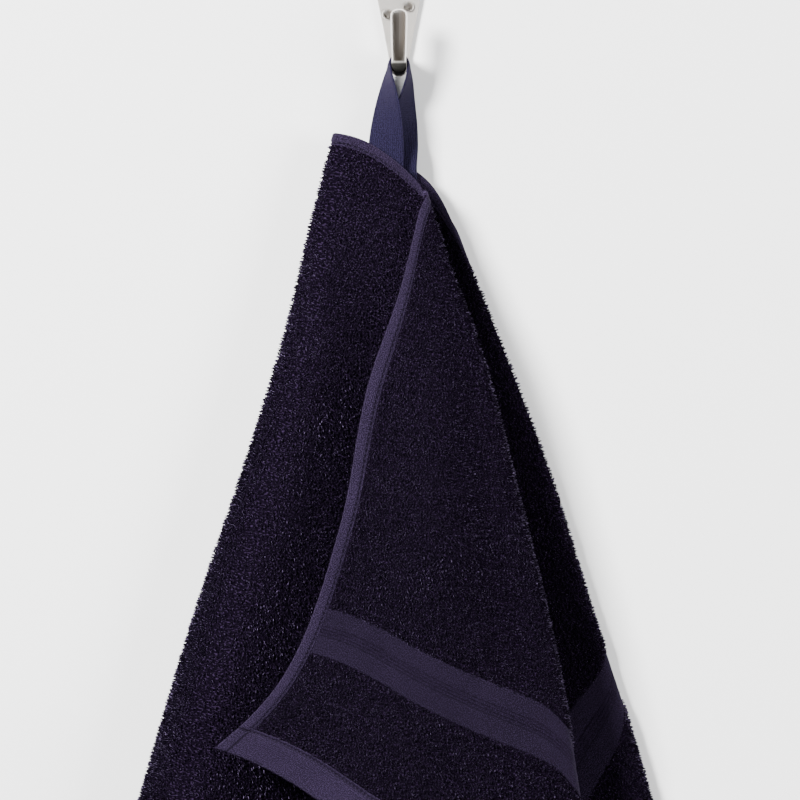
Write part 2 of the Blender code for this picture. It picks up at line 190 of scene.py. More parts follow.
# A hem's section: its outer and inner columns, how round its edges are, and its stitched groove.
HEM_OUTER_STEPS = (0, 0.15, 0.5, 1.0, 1.7)
HEM_INNER_STEPS = np.array([-2.5, -2.1, -1.7, -0.9, -0.5, 0, 0.2])
HEM_ROLL = 1.6
HEM_INNER_ROLL = 0.9
HEM_STITCH = 2.1
HEM_GROOVE = 0.45
HEM_GROOVE_DEEP = 0.5
END_HEM_THICKER = 1.03
HEM_STEP = 2.0

# Where the looped edge's hem rolls under, and the share of it that shows there.
ROLLED_AT = 5.0
ROLLED_HALF = 30.0
ROLLED_FADE = 110.0
ROLLED_SHARE = 0.55

# Sewing and woven borders, in millimetres. STITCH_SUNK is a share of the hem's half thickness.
STITCH_PITCH = 3.0
STITCH_LONG = 2.3
STITCH_HIGH = 0.4
STITCH_RADIUS = 0.3
STITCH_SUNK = 0.55
SEAM_HALF = 1.3
BORDER_GROOVES = (10.4, 12.2, 14.0, 15.8)
BORDER_GROOVE_HALF = 0.7
BORDER_GROOVE_WIDE = 0.5
BORDER_GROOVE_DEEP = 0.32
BORDER_STEPS = (0.65, 2.6)

# The pile. Spots are judged in square cells of the flat cloth, in millimetres: pile grows where any ray gets
# away, and close together where the camera sees the cloth. Rays are in metres and degrees.
PILE_EDGE = 0.3
CELL = 7.0
RAYS_AROUND = 6
RAY_TILT = 55
RAY_REACH = 0.06
RAY_LIFT = 0.0025
CAMERA_REACH = 0.3
FACING = 0.35
BELOW_PHOTO = 0.01

# A loop of pile: its place and size at random, its feet sunk in the cloth, its yarn's section a triangle.
SPOT_SCATTER = 0.28
FAR_SIZE = 0.9
FOOT_SUNK = 0.0006
FOOT_RADIUS = 0.75
YARN_CORNERS = ((1, 0), (-0.5, 0.87), (-0.5, -0.87))
LOOP_HEIGHTS = (0.75, 1.2)
LOOP_LENGTHS = (0.75, 1.25)
LOOP_RADII = (0.85, 1.2)

# Slow waves over the cloth, as length in millimetres and strength, in the nap's lean, the height and the dye.
# Loops lean any way by LEAN_ANY and down the cloth by LEAN_DOWN, in shares of their height.
NAP_WAVE = (90.0, 0.3)
HEIGHT_WAVE = (14.0, 0.08)
DYE_WAVE = (60.0, 0.2)
DYE_SCATTER = 0.26
DYE_MIDDLE = 0.5
LEAN_ANY = 0.35
LEAN_DOWN = 0.25
LOOPS_PER_PIECE = 16000
LEAST_LOOPS = 20

# The tape, from one sewn end over the hook to the other: x, z, distance from the wall and turn in degrees.
TAPE_WIDTH = 20.0
TAPE_THICK = 1.1
TAPE_THREAD = 0.0011
TAPE = (
    (-8.5, -92.0, 20.9, 3),
    (-8.2, -84.0, 20.8, 4),
    (-7.8, -76.0, 20.3, 10),
    (-7.4, -64.0, 19.0, 28),
    (-6.9, -50.0, 17.0, 50),
    (-6.5, -38.0, 15.4, 71),
    (-6.1, -31.0, 14.9, 84),
    (-5.2, -25.4, 14.8, 89),
    (-0.6, -22.6, 14.8, 90),
    (4.0, -25.4, 14.8, 91),
    (4.9, -31.0, 14.7, 94),
    (4.9, -38.0, 14.0, 102),
    (3.3, -50.0, 12.0, 120),
    (1.5, -64.0, 12.0, 145),
    (0.2, -76.0, 15.4, 165),
    (-0.5, -84.0, 16.6, 172),
    (-0.6, -92.0, 17.2, 175),
)

# The photo's frame: straight at the wall, so many pixels for so many millimetres.
PHOTO_SIDE = 800.0
PIXELS_PER_MM = 1.8
ORIGIN_DOWN = 15.0
CAMERA_LENS = 400.0
CAMERA_SENSOR = 36.0
WALL_SIDE = 6.0
WALL_BEHIND = 0.0008

# Lights: name, place, side and watts. WORLD is the soft light all round, ROOM is what metal mirrors.
LIGHTS = (
    ("key", (-1.5, -2.1, 0.75), 0.7, 385.0),
    ("fill", (1.9, -1.6, -0.1), 1.2, 105.0),
)
WORLD_LIGHT = 0.28
WORLD_COLOR = (0.93, 0.95, 1.0, 1)
ROOM_LIGHT = 0.9
ROOM_BRIGHT = (0.95, 0.95, 0.97, 1)
ROOM_WARM = (0.50, 0.43, 0.37, 1)
ROOM_UNLIT = (0.10, 0.085, 0.07, 1)

# Where the hook's prong stands off its plate and where the painted shade on the prong's lower curve ends, in
# metres out and up.
PRONG_OUT = (0.0026, 0.0036)
SHADED_BEND_UP = (-0.0262, -0.0282)


def settings():
    return bpy.context.scene.hand_towel


def hermite(t):
    """Weights of the near place, near slope, far place and far slope, at a share t of the way."""
    return 2 * t**3 - 3 * t**2 + 1, t**3 - 2 * t**2 + t, 3 * t**2 - 2 * t**3, t**3 - t**2


def smooth_at(xs, ys, x):
    """A curve through the points (xs, ys) whose slope never jumps, read at x."""
    xs = np.asarray(xs, float)
    ys = np.asarray(ys, float)
    slopes = np.gradient(ys, xs)
    x = np.clip(np.asarray(x, float), xs[0], xs[-1])
    i = np.clip(np.searchsorted(xs, x, side="right") - 1, 0, len(xs) - 2)
    step = xs[i + 1] - xs[i]
    a, b, c, d = hermite((x - xs[i]) / step)
    return a * ys[i] + b * step * slopes[i] + c * ys[i + 1] + d * step * slopes[i + 1]


def growing(r, starts, full):
    t = np.clip((np.asarray(r, float) - starts) / (full - starts), 0, 1)
    return t * t * (3 - 2 * t)


def spread(first, second, along):
    """The line a share of the way from one fold to the next, keeping its distance from their starts."""
    start = first[0] + (second[0] - first[0]) * along
    a = first - first[0]
    b = second - second[0]
    mixed = a + (b - a) * along
    far = np.hypot(a[:, 0], a[:, 1]) * (1 - along) + np.hypot(b[:, 0], b[:, 1]) * along
    now = np.hypot(mixed[:, 0], mixed[:, 1])
    grow = np.where(now > 1e-6, far / np.maximum(now, 1e-6), 1.0)
    return start + mixed * grow[:, None]


def beside(path, near, share, most):
    """Steps from a fold line to its neighbour: straight at it by the loop, square to the line far down."""
    along = np.gradient(path, LEVELS, axis=0)
    along = along / np.hypot(along[:, 0], along[:, 1])[:, None]
    right = np.column_stack([-along[:, 1], along[:, 0]])
    toward = near - path
    far = np.hypot(toward[:, 0], toward[:, 1])
    straight = toward / far[:, None] * np.minimum(share * far, most)[:, None]
    across = np.sum(toward * right, axis=1)
    square = right * np.clip(share * across, -most, most)[:, None]
    down = growing(LEVELS, 0.0, SQUARE_FROM)[:, None]
    return straight * (1 - down) + square * down


def control_lines():
    """The sheet's control lines as (start, angle, points at LEVELS), and each fold's place among them."""
    lines = []
    marks = []
    paths = [np.column_stack([fold.x, fold.z]).astype(float) for fold in FOLDS]
    for i, fold in enumerate(FOLDS):
        out = np.array(fold.out, float)
        gap = np.array(fold.gap, float)
        if fold.turn == 0:
            marks.append(float(len(lines)))
            lines.append((fold.start, fold.angle, np.column_stack([paths[i], out])))
        else:
            marks.append(len(lines) + 1.5)
            for side, near, layer in ((-1, i - 1, out), (1, i + 1, out - gap)):
                turn = FOLDS[near].angle - fold.angle
                rounding = side * FOLD_ROUND * gap
                wide_most = np.maximum(WIDE_GAPS * gap, WIDE_LEAST)
                tight_most = np.clip(TIGHT_MOST - gap, 0, None)
                wide = beside(paths[i], paths[near], WIDE_SHARE, wide_most)
                tight = beside(paths[i], paths[near], TIGHT_SHARE, tight_most)
                steps = ((wide, WIDE_TURN, 0.0), (tight, TIGHT_TURN, rounding))
                for step, share, shift in steps if side < 0 else steps[::-1]:
                    start = fold.start + (FOLDS[near].start - fold.start) * share
                    place = np.column_stack([paths[i] + step, layer + shift])
                    lines.append((start, fold.angle + turn * share, place))
        if i < len(LAYERS):
            after = FOLDS[i + 1]
            for swell in LAYERS[i]:
                place = spread(paths[i], paths[i + 1], swell.along)
                run = (place - place[0]) * (1 + swell.longer * growing(LEVELS, 0.0, LONGER_FULL))[:, None]
                chord = paths[i + 1][0] - paths[i][0]
                normal = np.array([-chord[1], chord[0]]) / np.hypot(*chord)
                fade = 1 - growing(LEVELS, 0.0, BOW_ENDS)
                place = place[0] + run + normal * swell.bow * fade[:, None]
                layer = (out - gap) * (1 - swell.along) + np.array(after.out, float) * swell.along
                layer = layer + swell.out * growing(LEVELS, SWELL_STARTS, SWELL_FULL)
                layer = layer + swell.far * growing(LEVELS, FAR_STARTS, FAR_FULL)
                start = fold.start + (after.start - fold.start) * swell.along
                angle = fold.angle + (after.angle - fold.angle) * swell.along
                lines.append((start, angle, np.column_stack([place, layer])))
    return lines, marks


def in_row_frame(place):
    """x, z, out in millimetres to x, y, z in metres."""
    return np.stack([place[..., 0], -place[..., 2], place[..., 1]], axis=-1) * MM


def unit(vectors):
    return vectors / np.maximum(np.linalg.norm(vectors, axis=-1, keepdims=True), 1e-12)


class Sheet:
    """The folded cloth. s counts control lines, r is the way along one from the looped edge, in mm."""

    def __init__(self):
        lines, self.marks = control_lines()
        self.spans = len(lines) - 1
        self.starts = self.padded(np.array([line[0] for line in lines], float))
        self.angles = self.padded(np.array([line[1] for line in lines], float))
        self.points = self.padded(self.relaxed(np.array([line[2] for line in lines], float)))
        self.slopes = np.gradient(self.points, LEVELS, axis=1)

    @staticmethod
    def relaxed(points):
        """The gathered cloth by the loop, with its control lines drawn a little towards their neighbours."""
        points = points.copy()
        for level, passes in enumerate(RELAX):
            for _ in range(passes):
                row = points[:, level]
                points[1:-1, level] = row[1:-1] / 2 + (row[:-2] + row[2:]) / 4
        return points

    @staticmethod
    def padded(values):
        return np.concatenate([[2 * values[0] - values[1]], values, [2 * values[-1] - values[-2]]])

    def weights(self, s):
        i = np.clip(s.astype(int), 0, self.spans - 1)
        t = s - i
        w = [(1 - t) ** 3, 3 * t**3 - 6 * t**2 + 4, -3 * t**3 + 3 * t**2 + 3 * t + 1, t**3]
        return i[..., None] + np.arange(4), np.stack(w, axis=-1) / 6

    def line(self, s):
        k, w = self.weights(s)
        return (w * self.starts[k]).sum(-1), (w * self.angles[k]).sum(-1)

    def middle(self, s, r):
        """The sheet's middle without its creases, as x, y, z in metres."""
        k, w = self.weights(s)
        r = np.clip(r, LEVELS[0], LEVELS[-1])
        j = np.clip(np.searchsorted(LEVELS, r, side="right") - 1, 0, len(LEVELS) - 2)
        step = LEVELS[j + 1] - LEVELS[j]
        a, b, c, d = (weight[..., None, None] for weight in hermite((r - LEVELS[j]) / step))
        step = step[..., None, None]
        j = j[..., None]
        near = self.points[k, j] * a + self.slopes[k, j] * (b * step)
        far = self.points[k, j + 1] * c + self.slopes[k, j + 1] * (d * step)
        return in_row_frame((w[..., None] * (near + far)).sum(-2))

    def square_to(self, shape, s, r):
        """Directions square to the sheet, on the side that is the front of the flap, and down its lines."""
        across = shape(np.clip(s + STEP_S, 0, self.spans), r) - shape(np.clip(s - STEP_S, 0, self.spans), r)
        down = shape(s, r + STEP_R) - shape(s, np.maximum(r - STEP_R, 0))
        return unit(np.cross(down, across)), unit(down)

    def creased(self, s, r):
        """How far the creases lift the sheet, in millimetres. They fade out at their ends and at the folds."""
        lift = np.zeros(np.broadcast(s, r).shape)
        for crease in CREASES:
            i = LAYER_NAMES.index(crease.layer)
            along = (s - self.marks[i]) / (self.marks[i + 1] - self.marks[i])
            run = np.clip((r - crease.starts) / (crease.ends - crease.starts), 0, 1)
            aside = (along - crease.along - crease.lean * (run - 0.5)) / crease.wide
            inside = growing(along, 0.0, 0.12) * (1 - growing(along, 0.88, 1.0))
            lift = lift + crease.deep * np.exp(-(aside**2)) * np.sin(math.pi * run) ** 0.8 * inside
        return lift

    def shape(self, s, r):
        """The sheet's middle with its creases."""
        plain = self.middle(s, r)
        square, _ = self.square_to(self.middle, s, r)
        return plain + square * (self.creased(s, r) * MM)[..., None]

    def surface(self, s, r):
        """Places, the directions square to the sheet and those down its lines."""
        square, down = self.square_to(self.shape, s, r)
        return self.shape(s, r), square, down

    def find(self, u, v):
        """The s and r of a point of the flat cloth."""
        u, v = np.broadcast_arrays(np.asarray(u, float), np.asarray(v, float))
        low = np.zeros(u.shape)
        high = np.full(u.shape, float(self.spans))
        for _ in range(HALVINGS):
            s = (low + high) / 2
            start, angle = self.line(s)
            angle = np.radians(angle)
            past = (u - start) * np.sin(angle) - v * np.cos(angle) > 0
            high = np.where(past, s, high)
            low = np.where(past, low, s)
        s = (low + high) / 2
        start, _ = self.line(s)
        return s, np.hypot(u - start, v)

    def reach(self, s):
        """How far the line runs before it leaves the cloth."""
        start, angle = self.line(s)
        across = np.cos(np.radians(angle))
        up = np.maximum(np.sin(np.radians(angle)), 1e-9)
        side = (np.sign(across) * CLOTH_LENGTH / 2 - start) / np.where(abs(across) < 1e-9, 1e-9, across)
        return np.minimum(CLOTH_WIDTH / up, side)

    def corner(self, side):
        """The s whose line runs into the far corner on this side."""
        s, _ = self.find(side * CLOTH_LENGTH / 2, CLOTH_WIDTH)
        return float(s)


def cloth_at(sheet, s, r):
    """Where the line's point lies on the flat cloth."""
    start, angle = sheet.line(s)
    return start + r * np.cos(np.radians(angle)), r * np.sin(np.radians(angle))


def mesh_of(name, points, faces):
    """A smooth mesh from its points and its four-sided faces."""
    mesh = bpy.data.meshes.new(name)
    mesh.vertices.add(len(points))
    mesh.vertices.foreach_set("co", points.astype(np.float32).ravel())
    mesh.loops.add(faces.size)
    mesh.loops.foreach_set("vertex_index", faces.ravel().astype(np.int32))
    mesh.polygons.add(len(faces))
    mesh.polygons.foreach_set("loop_start", np.arange(0, faces.size, 4, dtype=np.int32))
    mesh.polygons.foreach_set("use_smooth", np.ones(len(faces), bool))
    return mesh


def closed_grid(name, front, back, flat):
    """A closed mesh from its two faces' (columns, rows, 3) grids. Its UV map is the flat cloth in metres."""
    columns, rows = front.shape[:2]
    count = columns * rows
    index = np.arange(count).reshape(columns, rows)
    a, b, c, d = index[:-1, :-1], index[:-1, 1:], index[1:, 1:], index[1:, :-1]
    faces = [np.stack([a, b, c, d], -1).reshape(-1, 4)]
    faces.append(np.stack([a, d, c, b], -1).reshape(-1, 4) + count)
    ring = np.concatenate([index[0, :-1], index[:-1, -1], index[-1, :0:-1], index[:0:-1, 0]])
    after = np.roll(ring, -1)
    faces.append(np.stack([after, ring, ring + count, after + count], -1))
    faces = np.concatenate(faces)
    mesh = mesh_of(name, np.concatenate([front.reshape(-1, 3), back.reshape(-1, 3)]), faces)
    mesh.update(calc_edges=True)
    mesh.validate()
    uv = mesh.uv_layers.new(name="cloth")
    both = np.concatenate([flat.reshape(-1, 2), flat.reshape(-1, 2)]) * MM
    uv.data.foreach_set("uv", both[faces.ravel()].astype(np.float32).ravel())
    return mesh


def outward(mesh):
    """Turns the faces of a closed mesh to look outwards."""
    work = bmesh.new()
    work.from_mesh(mesh)
    if work.calc_volume(signed=True) < 0:
        bmesh.ops.reverse_faces(work, faces=work.faces)
    work.to_mesh(mesh)
    work.free()
    return mesh


def piece(name, mesh, material):
    """A finished piece at the origin, riding with the hook."""
    obj = bpy.data.objects.new(name, mesh)
    bpy.context.scene.collection.objects.link(obj)
    mesh.materials.clear()
    mesh.materials.append(material)
    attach(obj, "root")
    return obj


def put(tree, socket, value):
    """Links a Shade to a socket, or sets the socket's own value."""
    if isinstance(value, Shade):
        tree.links.new(value.socket, socket)
    else:
        socket.default_value = value


class Shade:
    """A value or colour in a node tree. Python's operators on it add Math nodes."""

    def __init__(self, tree, socket):
        self.tree = tree
        self.socket = socket

    def maths(self, operation, *others, first=True):
        """A Math node of this value and others. This one comes last if first is False."""
        node = self.tree.nodes.new("ShaderNodeMath")
        node.operation = operation
        for socket, value in zip(node.inputs, (self, *others) if first else (*others, self)):
            put(self.tree, socket, value)
        return Shade(self.tree, node.outputs[0])

    def __add__(self, other):
        return self.maths("ADD", other)

    def __radd__(self, other):
        return self.maths("ADD", other, first=False)

    def __sub__(self, other):
        return self.maths("SUBTRACT", other)

    def __rsub__(self, other):
        return self.maths("SUBTRACT", other, first=False)

    def __mul__(self, other):
        return self.maths("MULTIPLY", other)

    def __rmul__(self, other):
        return self.maths("MULTIPLY", other, first=False)

    def clipped(self):
        """This value, kept from 0 to 1."""
        return self.maths("MAXIMUM", 0.0).maths("MINIMUM", 1.0)

    def near(self, place, wide):
        """1 where this value is at place, falling to 0 so far from it."""
        away = (self - place).maths("ABSOLUTE") * (1 / wide)
        return (1 - away).maths("MAXIMUM", 0.0)

    def mixed(self, first, second):
        """The colour that lies this share of the way from the first to the second."""
        node = self.tree.nodes.new("ShaderNodeMix")
        node.data_type = "RGBA"
        for i, value in ((0, self), (6, first), (7, second)):
            put(self.tree, node.inputs[i], value)
        return Shade(self.tree, node.outputs[2])

    def axes(self):
        """The x, y and z of a place."""
        split = self.tree.nodes.new("ShaderNodeSeparateXYZ")
        put(self.tree, split.inputs[0], self)
        return [Shade(self.tree, output) for output in split.outputs]


class Look:
    """A material being built: any node by type, options and the values or links of its sockets."""

    def __init__(self, name):
        self.material = bpy.data.materials.new(name)
        self.material.use_nodes = True
        self.tree = self.material.node_tree
        self.shader = self.tree.nodes["Principled BSDF"]

    def node(self, kind, options=None, out=0, **values):
        node = self.tree.nodes.new("ShaderNode" + kind)
        for key, value in (options or {}).items():
            setattr(node, key, value)
        for key, value in values.items():
            put(self.tree, node.inputs[key.replace("_", " ")], value)
        return Shade(self.tree, node.outputs[out])

    def feed(self, **values):
        """Sets or links the shader's own sockets."""
        for key, value in values.items():
            put(self.tree, self.shader.inputs[key.replace("_", " ")], value)
        return self

    def noise(self, place, scale, detail, **values):
        return self.node("TexNoise", Vector=place, Scale=scale, Detail=detail, **values)

    def step(self, value, ends):
        """0 on the first side of the two ends, 1 past the second, smooth between."""
        options = {"interpolation_type": "SMOOTHSTEP"}
        return self.node("MapRange", options, Value=value, From_Min=ends[0], From_Max=ends[1])

    def sheen(self, weight, roughness):
        """Light caught by loose fibres."""
        tint = opaque(settings().sheen_color)
        return self.feed(Sheen_Weight=weight, Sheen_Roughness=roughness, Sheen_Tint=tint)

    def flat_cloth(self):
        """The flat cloth's u and v in metres, from the piece's own map, and both as one place."""
        uv = self.node("UVMap", {"uv_map": "cloth"})
        u, v, _ = uv.axes()
        return u, v, uv

    def bump(self, height, distance, strength=1.0):
        return self.feed(Normal=self.node("Bump", Strength=strength, Distance=distance, Height=height))


def opaque(color, share=1.0):
    """A colour for a socket, made darker or lighter by the share."""
    return (*(c * share for c in color[:3]), 1.0)


def waves(u, pitch):
    """A row of soft ridges along u, from 0 to 1, so many metres apart."""
    return (u * (2 * math.pi / pitch)).maths("COSINE") * 0.5 + 0.5


def shaded_ground_look():
    """The cloth between the pile's loops, coloured far darker than its yarn as painted shade between the
    loops, with lighter specks that stand for deeper loops in shade, and the rows of loops showing as bumps.
    """
    look = Look("terry ground")
    yarn = settings().pile_color
    _, _, uv = look.flat_cloth()
    grain = look.noise(uv, 1100.0, 1.0)
    speck = ((grain - 0.53) * 6.0).clipped()
    # Painted shade: the ground is 6 % of the yarn's colour, its specks at most half of it.
    color = speck.mixed(opaque(yarn, 0.06), opaque(yarn, 0.5))
    look.feed(Base_Color=color, Roughness=1.0, Specular_IOR_Level=0.0).bump(grain, 0.0008)
    return look.material


def weave_look(name, color, pitch, groove_shade):
    """Flat woven cloth with crossing threads and uneven dyeing, with painted shade darkening it along its
    stitched or woven grooves.

    The last argument is a function that makes the mask of that painted shade from the cloth's u and v.
    """
    look = Look(name)
    u, v, uv = look.flat_cloth()
    warp = waves(u, pitch)
    weft = waves(v, pitch * 1.15)
    slub = look.noise(uv, 1400.0, 1.0, Roughness=0.7)
    cloud = look.noise(uv, 45.0, 3.0)
    cross = warp * weft
    shade = cross * 0.45 + (slub - 0.5) * 6.5 + cloud * 0.5 - 0.05
    tone = shade.mixed(opaque(color, 0.3), opaque(color, 1.75))
    # Painted shade: along the grooves the colour falls to 12 %.
    tone = groove_shade(u, v).mixed(tone, opaque(color, 0.12))
    look.feed(Base_Color=tone, Roughness=0.95, Specular_IOR_Level=0.03).sheen(0.12, 0.5)
    look.bump(cross + slub * 1.4, 0.0003)
    return look.material


def hem_groove_shade(u, v):
    """Painted shade along the stitched grooves of all four hems."""
    across = (v - CLOTH_WIDTH / 2 * MM).maths("ABSOLUTE")
    side = across.near((CLOTH_WIDTH / 2 - SIDE_HEM + HEM_STITCH) * MM, SEAM_HALF * MM)
    end = u.maths("ABSOLUTE").near((CLOTH_LENGTH / 2 - END_HEM + HEM_STITCH) * MM, SEAM_HALF * MM)
    return side.maths("MAXIMUM", end)


def border_groove_shade(u, v):
    """Painted shade in the fine grooves of the woven borders."""
    end = u.maths("ABSOLUTE")
    half = BORDER_GROOVE_HALF * MM
    mask, *others = [end.near((BORDER_FROM + place) * MM, half) for place in BORDER_GROOVES]
    for groove in others:
        mask = mask.maths("MAXIMUM", groove)
    return mask * 0.6


def pile_looks(count):
    """Yarn in a few shades, as terry takes up colour unevenly; on the flap the choice among them also carries
    painted light and shade. Each loop of pile wears one of them.
    """
    made = []
    for i in range(count):
        share = i / max(count - 1, 1)
        look = Look(f"terry yarn {i + 1}")
        tone = opaque(settings().pile_color, 0.05 + 3.9 * share**2.5)
        look.feed(Base_Color=tone, Roughness=0.9, Specular_IOR_Level=0.03).sheen(0.3, 0.35)
        made.append(look.material)
    return made


def build_ground(sheet):
    """The cloth itself, without its pile."""
    made = settings()
    samples = made.ground_samples
    s = np.linspace(0, sheet.spans, sheet.spans * samples + 1)
    for side in (1, -1):
        aim = sheet.corner(side)
        s[np.argmin(abs(s - aim))] = aim
    shares = np.linspace(0, 1, made.ground_rows + 1) ** 1.1
    grid_s = np.repeat(s[:, None], len(shares), axis=1)
    grid_r = sheet.reach(s)[:, None] * shares[None, :]
    places, square, _ = sheet.surface(grid_s, grid_r)
    u, v = cloth_at(sheet, grid_s, grid_r)
    half = made.ground_thickness / 2
    mesh = closed_grid("towel_cloth", places + square * half, places - square * half, np.stack([u, v], -1))
    return piece("towel_cloth", outward(mesh), shaded_ground_look())


def hem_share(u):
    """How much of the looped edge's hem shows. It rolls under where the loop gathers the cloth."""
    return ROLLED_SHARE + (1 - ROLLED_SHARE) * growing(abs(u - ROLLED_AT), ROLLED_HALF, ROLLED_FADE)


def band(sheet, name, u, v, half, material, share=None):
    """A strip of the cloth between given u and v, as thick either side as half says, in millimetres."""
    grid_u, grid_v = np.meshgrid(u, v, indexing="ij")
    s, r = sheet.find(grid_u, grid_v if share is None else grid_v * share[:, None])
    places, square, _ = sheet.surface(s, r)
    thick = (half * MM)[..., None]
    flat = np.stack([grid_u, grid_v], -1)
    mesh = closed_grid(name, places + square * thick, places - square * thick, flat)
    return piece(name, outward(mesh), material)


def hem_profile(across, wide):
    """Half the hem's thickness across it: a rolled outer edge, a flat band and a stitched groove."""
    full = settings().hem_thickness / 2 / MM
    roll = np.sqrt(np.clip(1 - (1 - np.clip(across / HEM_ROLL, 0, 1)) ** 2, 0.04, 1))
    groove = 1 - HEM_GROOVE_DEEP * np.exp(-(((across - (wide - HEM_STITCH)) / HEM_GROOVE) ** 2))
    inner = np.clip((across - (wide - HEM_INNER_ROLL)) / HEM_INNER_ROLL, 0, 1)
    return full * roll * groove * np.sqrt(np.clip(1 - inner**2, 0.12, 1))


def steps_between(first, last, step):
    return np.linspace(first, last, max(int(round(abs(last - first) / step)), 1) + 1)


def build_side_hem(sheet, name, edge, material):
    """The long edges' hems. edge is 0 at the loop and the cloth's width away from it."""
    across = np.concatenate([HEM_OUTER_STEPS, (3.5, 5.3, 7), SIDE_HEM + HEM_INNER_STEPS])
    v = across if edge == 0 else CLOTH_WIDTH - across
    u = steps_between(-CLOTH_LENGTH / 2, CLOTH_LENGTH / 2, HEM_STEP)
    half = np.broadcast_to(hem_profile(across, SIDE_HEM), (len(u), len(across)))
    return band(sheet, name, u, v, half, material, hem_share(u) if edge == 0 else None)


def build_end_hem(sheet, name, side, material):
    middle = steps_between(3, END_HEM - 2.6, HEM_STEP)
    across = np.concatenate([HEM_OUTER_STEPS, middle, END_HEM + HEM_INNER_STEPS])
    u = side * (CLOTH_LENGTH / 2 - across)
    v = steps_between(0, CLOTH_WIDTH, HEM_STEP)
    half = np.broadcast_to(hem_profile(across, END_HEM)[:, None] * END_HEM_THICKER, (len(u), len(v)))
    return band(sheet, name, u, v, half, material)


def border_profile(across):
    """Half the border's thickness: flat woven, with a group of fine cords nearer the cloth's middle."""
    flat = settings().border_thickness / 2 / MM
    rib = np.zeros(len(across))
    for middle in BORDER_GROOVES:
        rib = rib - BORDER_GROOVE_DEEP * np.exp(-(((across - middle) / BORDER_GROOVE_WIDE) ** 2))
    return flat + rib


def build_border(sheet, name, side, material):
    """A woven border without pile, across the cloth near its end."""
    across = steps_between(0, BORDER_TO - BORDER_FROM, BORDER_STEPS[0])
    u = side * (BORDER_FROM + across)
    v = steps_between(SIDE_HEM - 1, CLOTH_WIDTH - SIDE_HEM + 1, BORDER_STEPS[1])
    half = np.broadcast_to(border_profile(across)[:, None], (len(u), len(v)))
    return band(sheet, name, u, v, half, material)


def exposure(sheet, tree, u, v, side):
    """How open the cloth is there: the share of rays that get away, and whether the camera sees it."""
    s, r = sheet.find(u, v)
    places, square, down = sheet.surface(s, r)
    square = square * side
    across = np.cross(square, down)
    tilts = [(0.0, 0.0)]
    tilts += [(math.radians(RAY_TILT), math.radians(360 / RAYS_AROUND * k)) for k in range(RAYS_AROUND)]

    def escapes(i, aim, reach):
        return tree.ray_cast(Vector(places[i] + square[i] * RAY_LIFT), Vector(aim), reach)[0] is None

    open_share = np.zeros(len(s))
    for tilt, around in tilts:
        aside = down * math.cos(around) + across * math.sin(around)
        aim = square * math.cos(tilt) + aside * math.sin(tilt)
        for i in range(len(s)):
            open_share[i] += escapes(i, aim[i], RAY_REACH)
    seen = np.zeros(len(s), bool)
    for i in np.flatnonzero(square[:, 1] < FACING):
        seen[i] = escapes(i, (0, -1, 0), CAMERA_REACH)
    below = places[:, 2] < -(PHOTO_SIDE - ORIGIN_DOWN) / PIXELS_PER_MM * MM - BELOW_PHOTO
    return open_share / len(tilts), seen & ~below


def scattered(pitch, seed):
    """Points of the flat cloth in offset rows, each moved a little at random."""
    rng = np.random.default_rng(seed)
    rows = np.arange(pitch / 2, CLOTH_WIDTH, pitch * 0.866)
    points = []
    for k, v in enumerate(rows):
        u = np.arange(-CLOTH_LENGTH / 2 + pitch / 2 + (k % 2) * pitch / 2, CLOTH_LENGTH / 2, pitch)
        points.append(np.column_stack([u, np.full(len(u), v)]))
    points = np.concatenate(points)
    return points + rng.uniform(-SPOT_SCATTER, SPOT_SCATTER, points.shape) * pitch


def has_pile(u, v):
    """Whether pile grows there: not on the hems or the woven borders."""
    field = (v > (SIDE_HEM + PILE_EDGE) * hem_share(u)) & (v < CLOTH_WIDTH - SIDE_HEM - PILE_EDGE)
    field &= abs(u) < CLOTH_LENGTH / 2 - END_HEM - PILE_EDGE
    return field & ~((abs(u) > BORDER_FROM) & (abs(u) < BORDER_TO))


def wander(places, scale, seed):
    """Smooth noise over the cloth from -1 to 1, out of a few crossing waves."""
    rng = np.random.default_rng(seed)
    total = np.zeros(len(places))
    for _ in range(7):
        angle = rng.uniform(0, 2 * math.pi)
        pitch = scale * rng.uniform(0.6, 1.6)
        phase = rng.uniform(0, 2 * math.pi)
        along = places[:, 0] * math.cos(angle) + places[:, 1] * math.sin(angle)
        total += np.sin(along * 2 * math.pi / pitch + phase)
    return total / 3.5


def painted_flap_light_and_shade(sheet, s, r):
    """Painted light and shade on the flap's pile, by the choice of yarn shade: lighter by the loop and along
    the front ridge, darker low down.
    """
    along = s / sheet.marks[1]
    light = 0.24 * growing(along, 0.7, 0.95) + 0.4 * (1 - growing(r, 60.0, 170.0))
    return (light - 0.04 - 0.12 * growing(r, 220.0, 330.0)) * (along < 1.02)


def loops_mesh(name, centres, square, lean, flat, height, length, radius, tones):
    """Pile as short arched loops: three rings of three points each, feet sunk in the cloth."""
    across = np.cross(square, flat)
    foot = flat * length[:, None] / 2
    sunk = square * FOOT_SUNK
    rings = (
        (centres - foot - sunk, -flat, radius * FOOT_RADIUS),
        (centres + square * height[:, None] + lean, square, radius),
        (centres + foot - sunk, flat, radius * FOOT_RADIUS),
    )
    points = []
    for middle, away, wide in rings:
        for outward_share, aside in YARN_CORNERS:
            points.append(middle + (outward_share * away + aside * across) * wide[:, None])
    points = np.stack(points, axis=1)
    sides = ((0, 1), (1, 2), (2, 0))
    quads = np.array([(ring + k, ring + j, ring + 3 + j, ring + 3 + k) for ring in (0, 3) for k, j in sides])
    faces = (quads[None] + np.arange(len(points))[:, None, None] * 9).reshape(-1, 4)
    mesh = mesh_of(name, points.reshape(-1, 3), faces)
    mesh.polygons.foreach_set("material_index", np.repeat(tones, len(quads)).astype(np.int32))
    mesh.update(calc_edges=True)
    return mesh


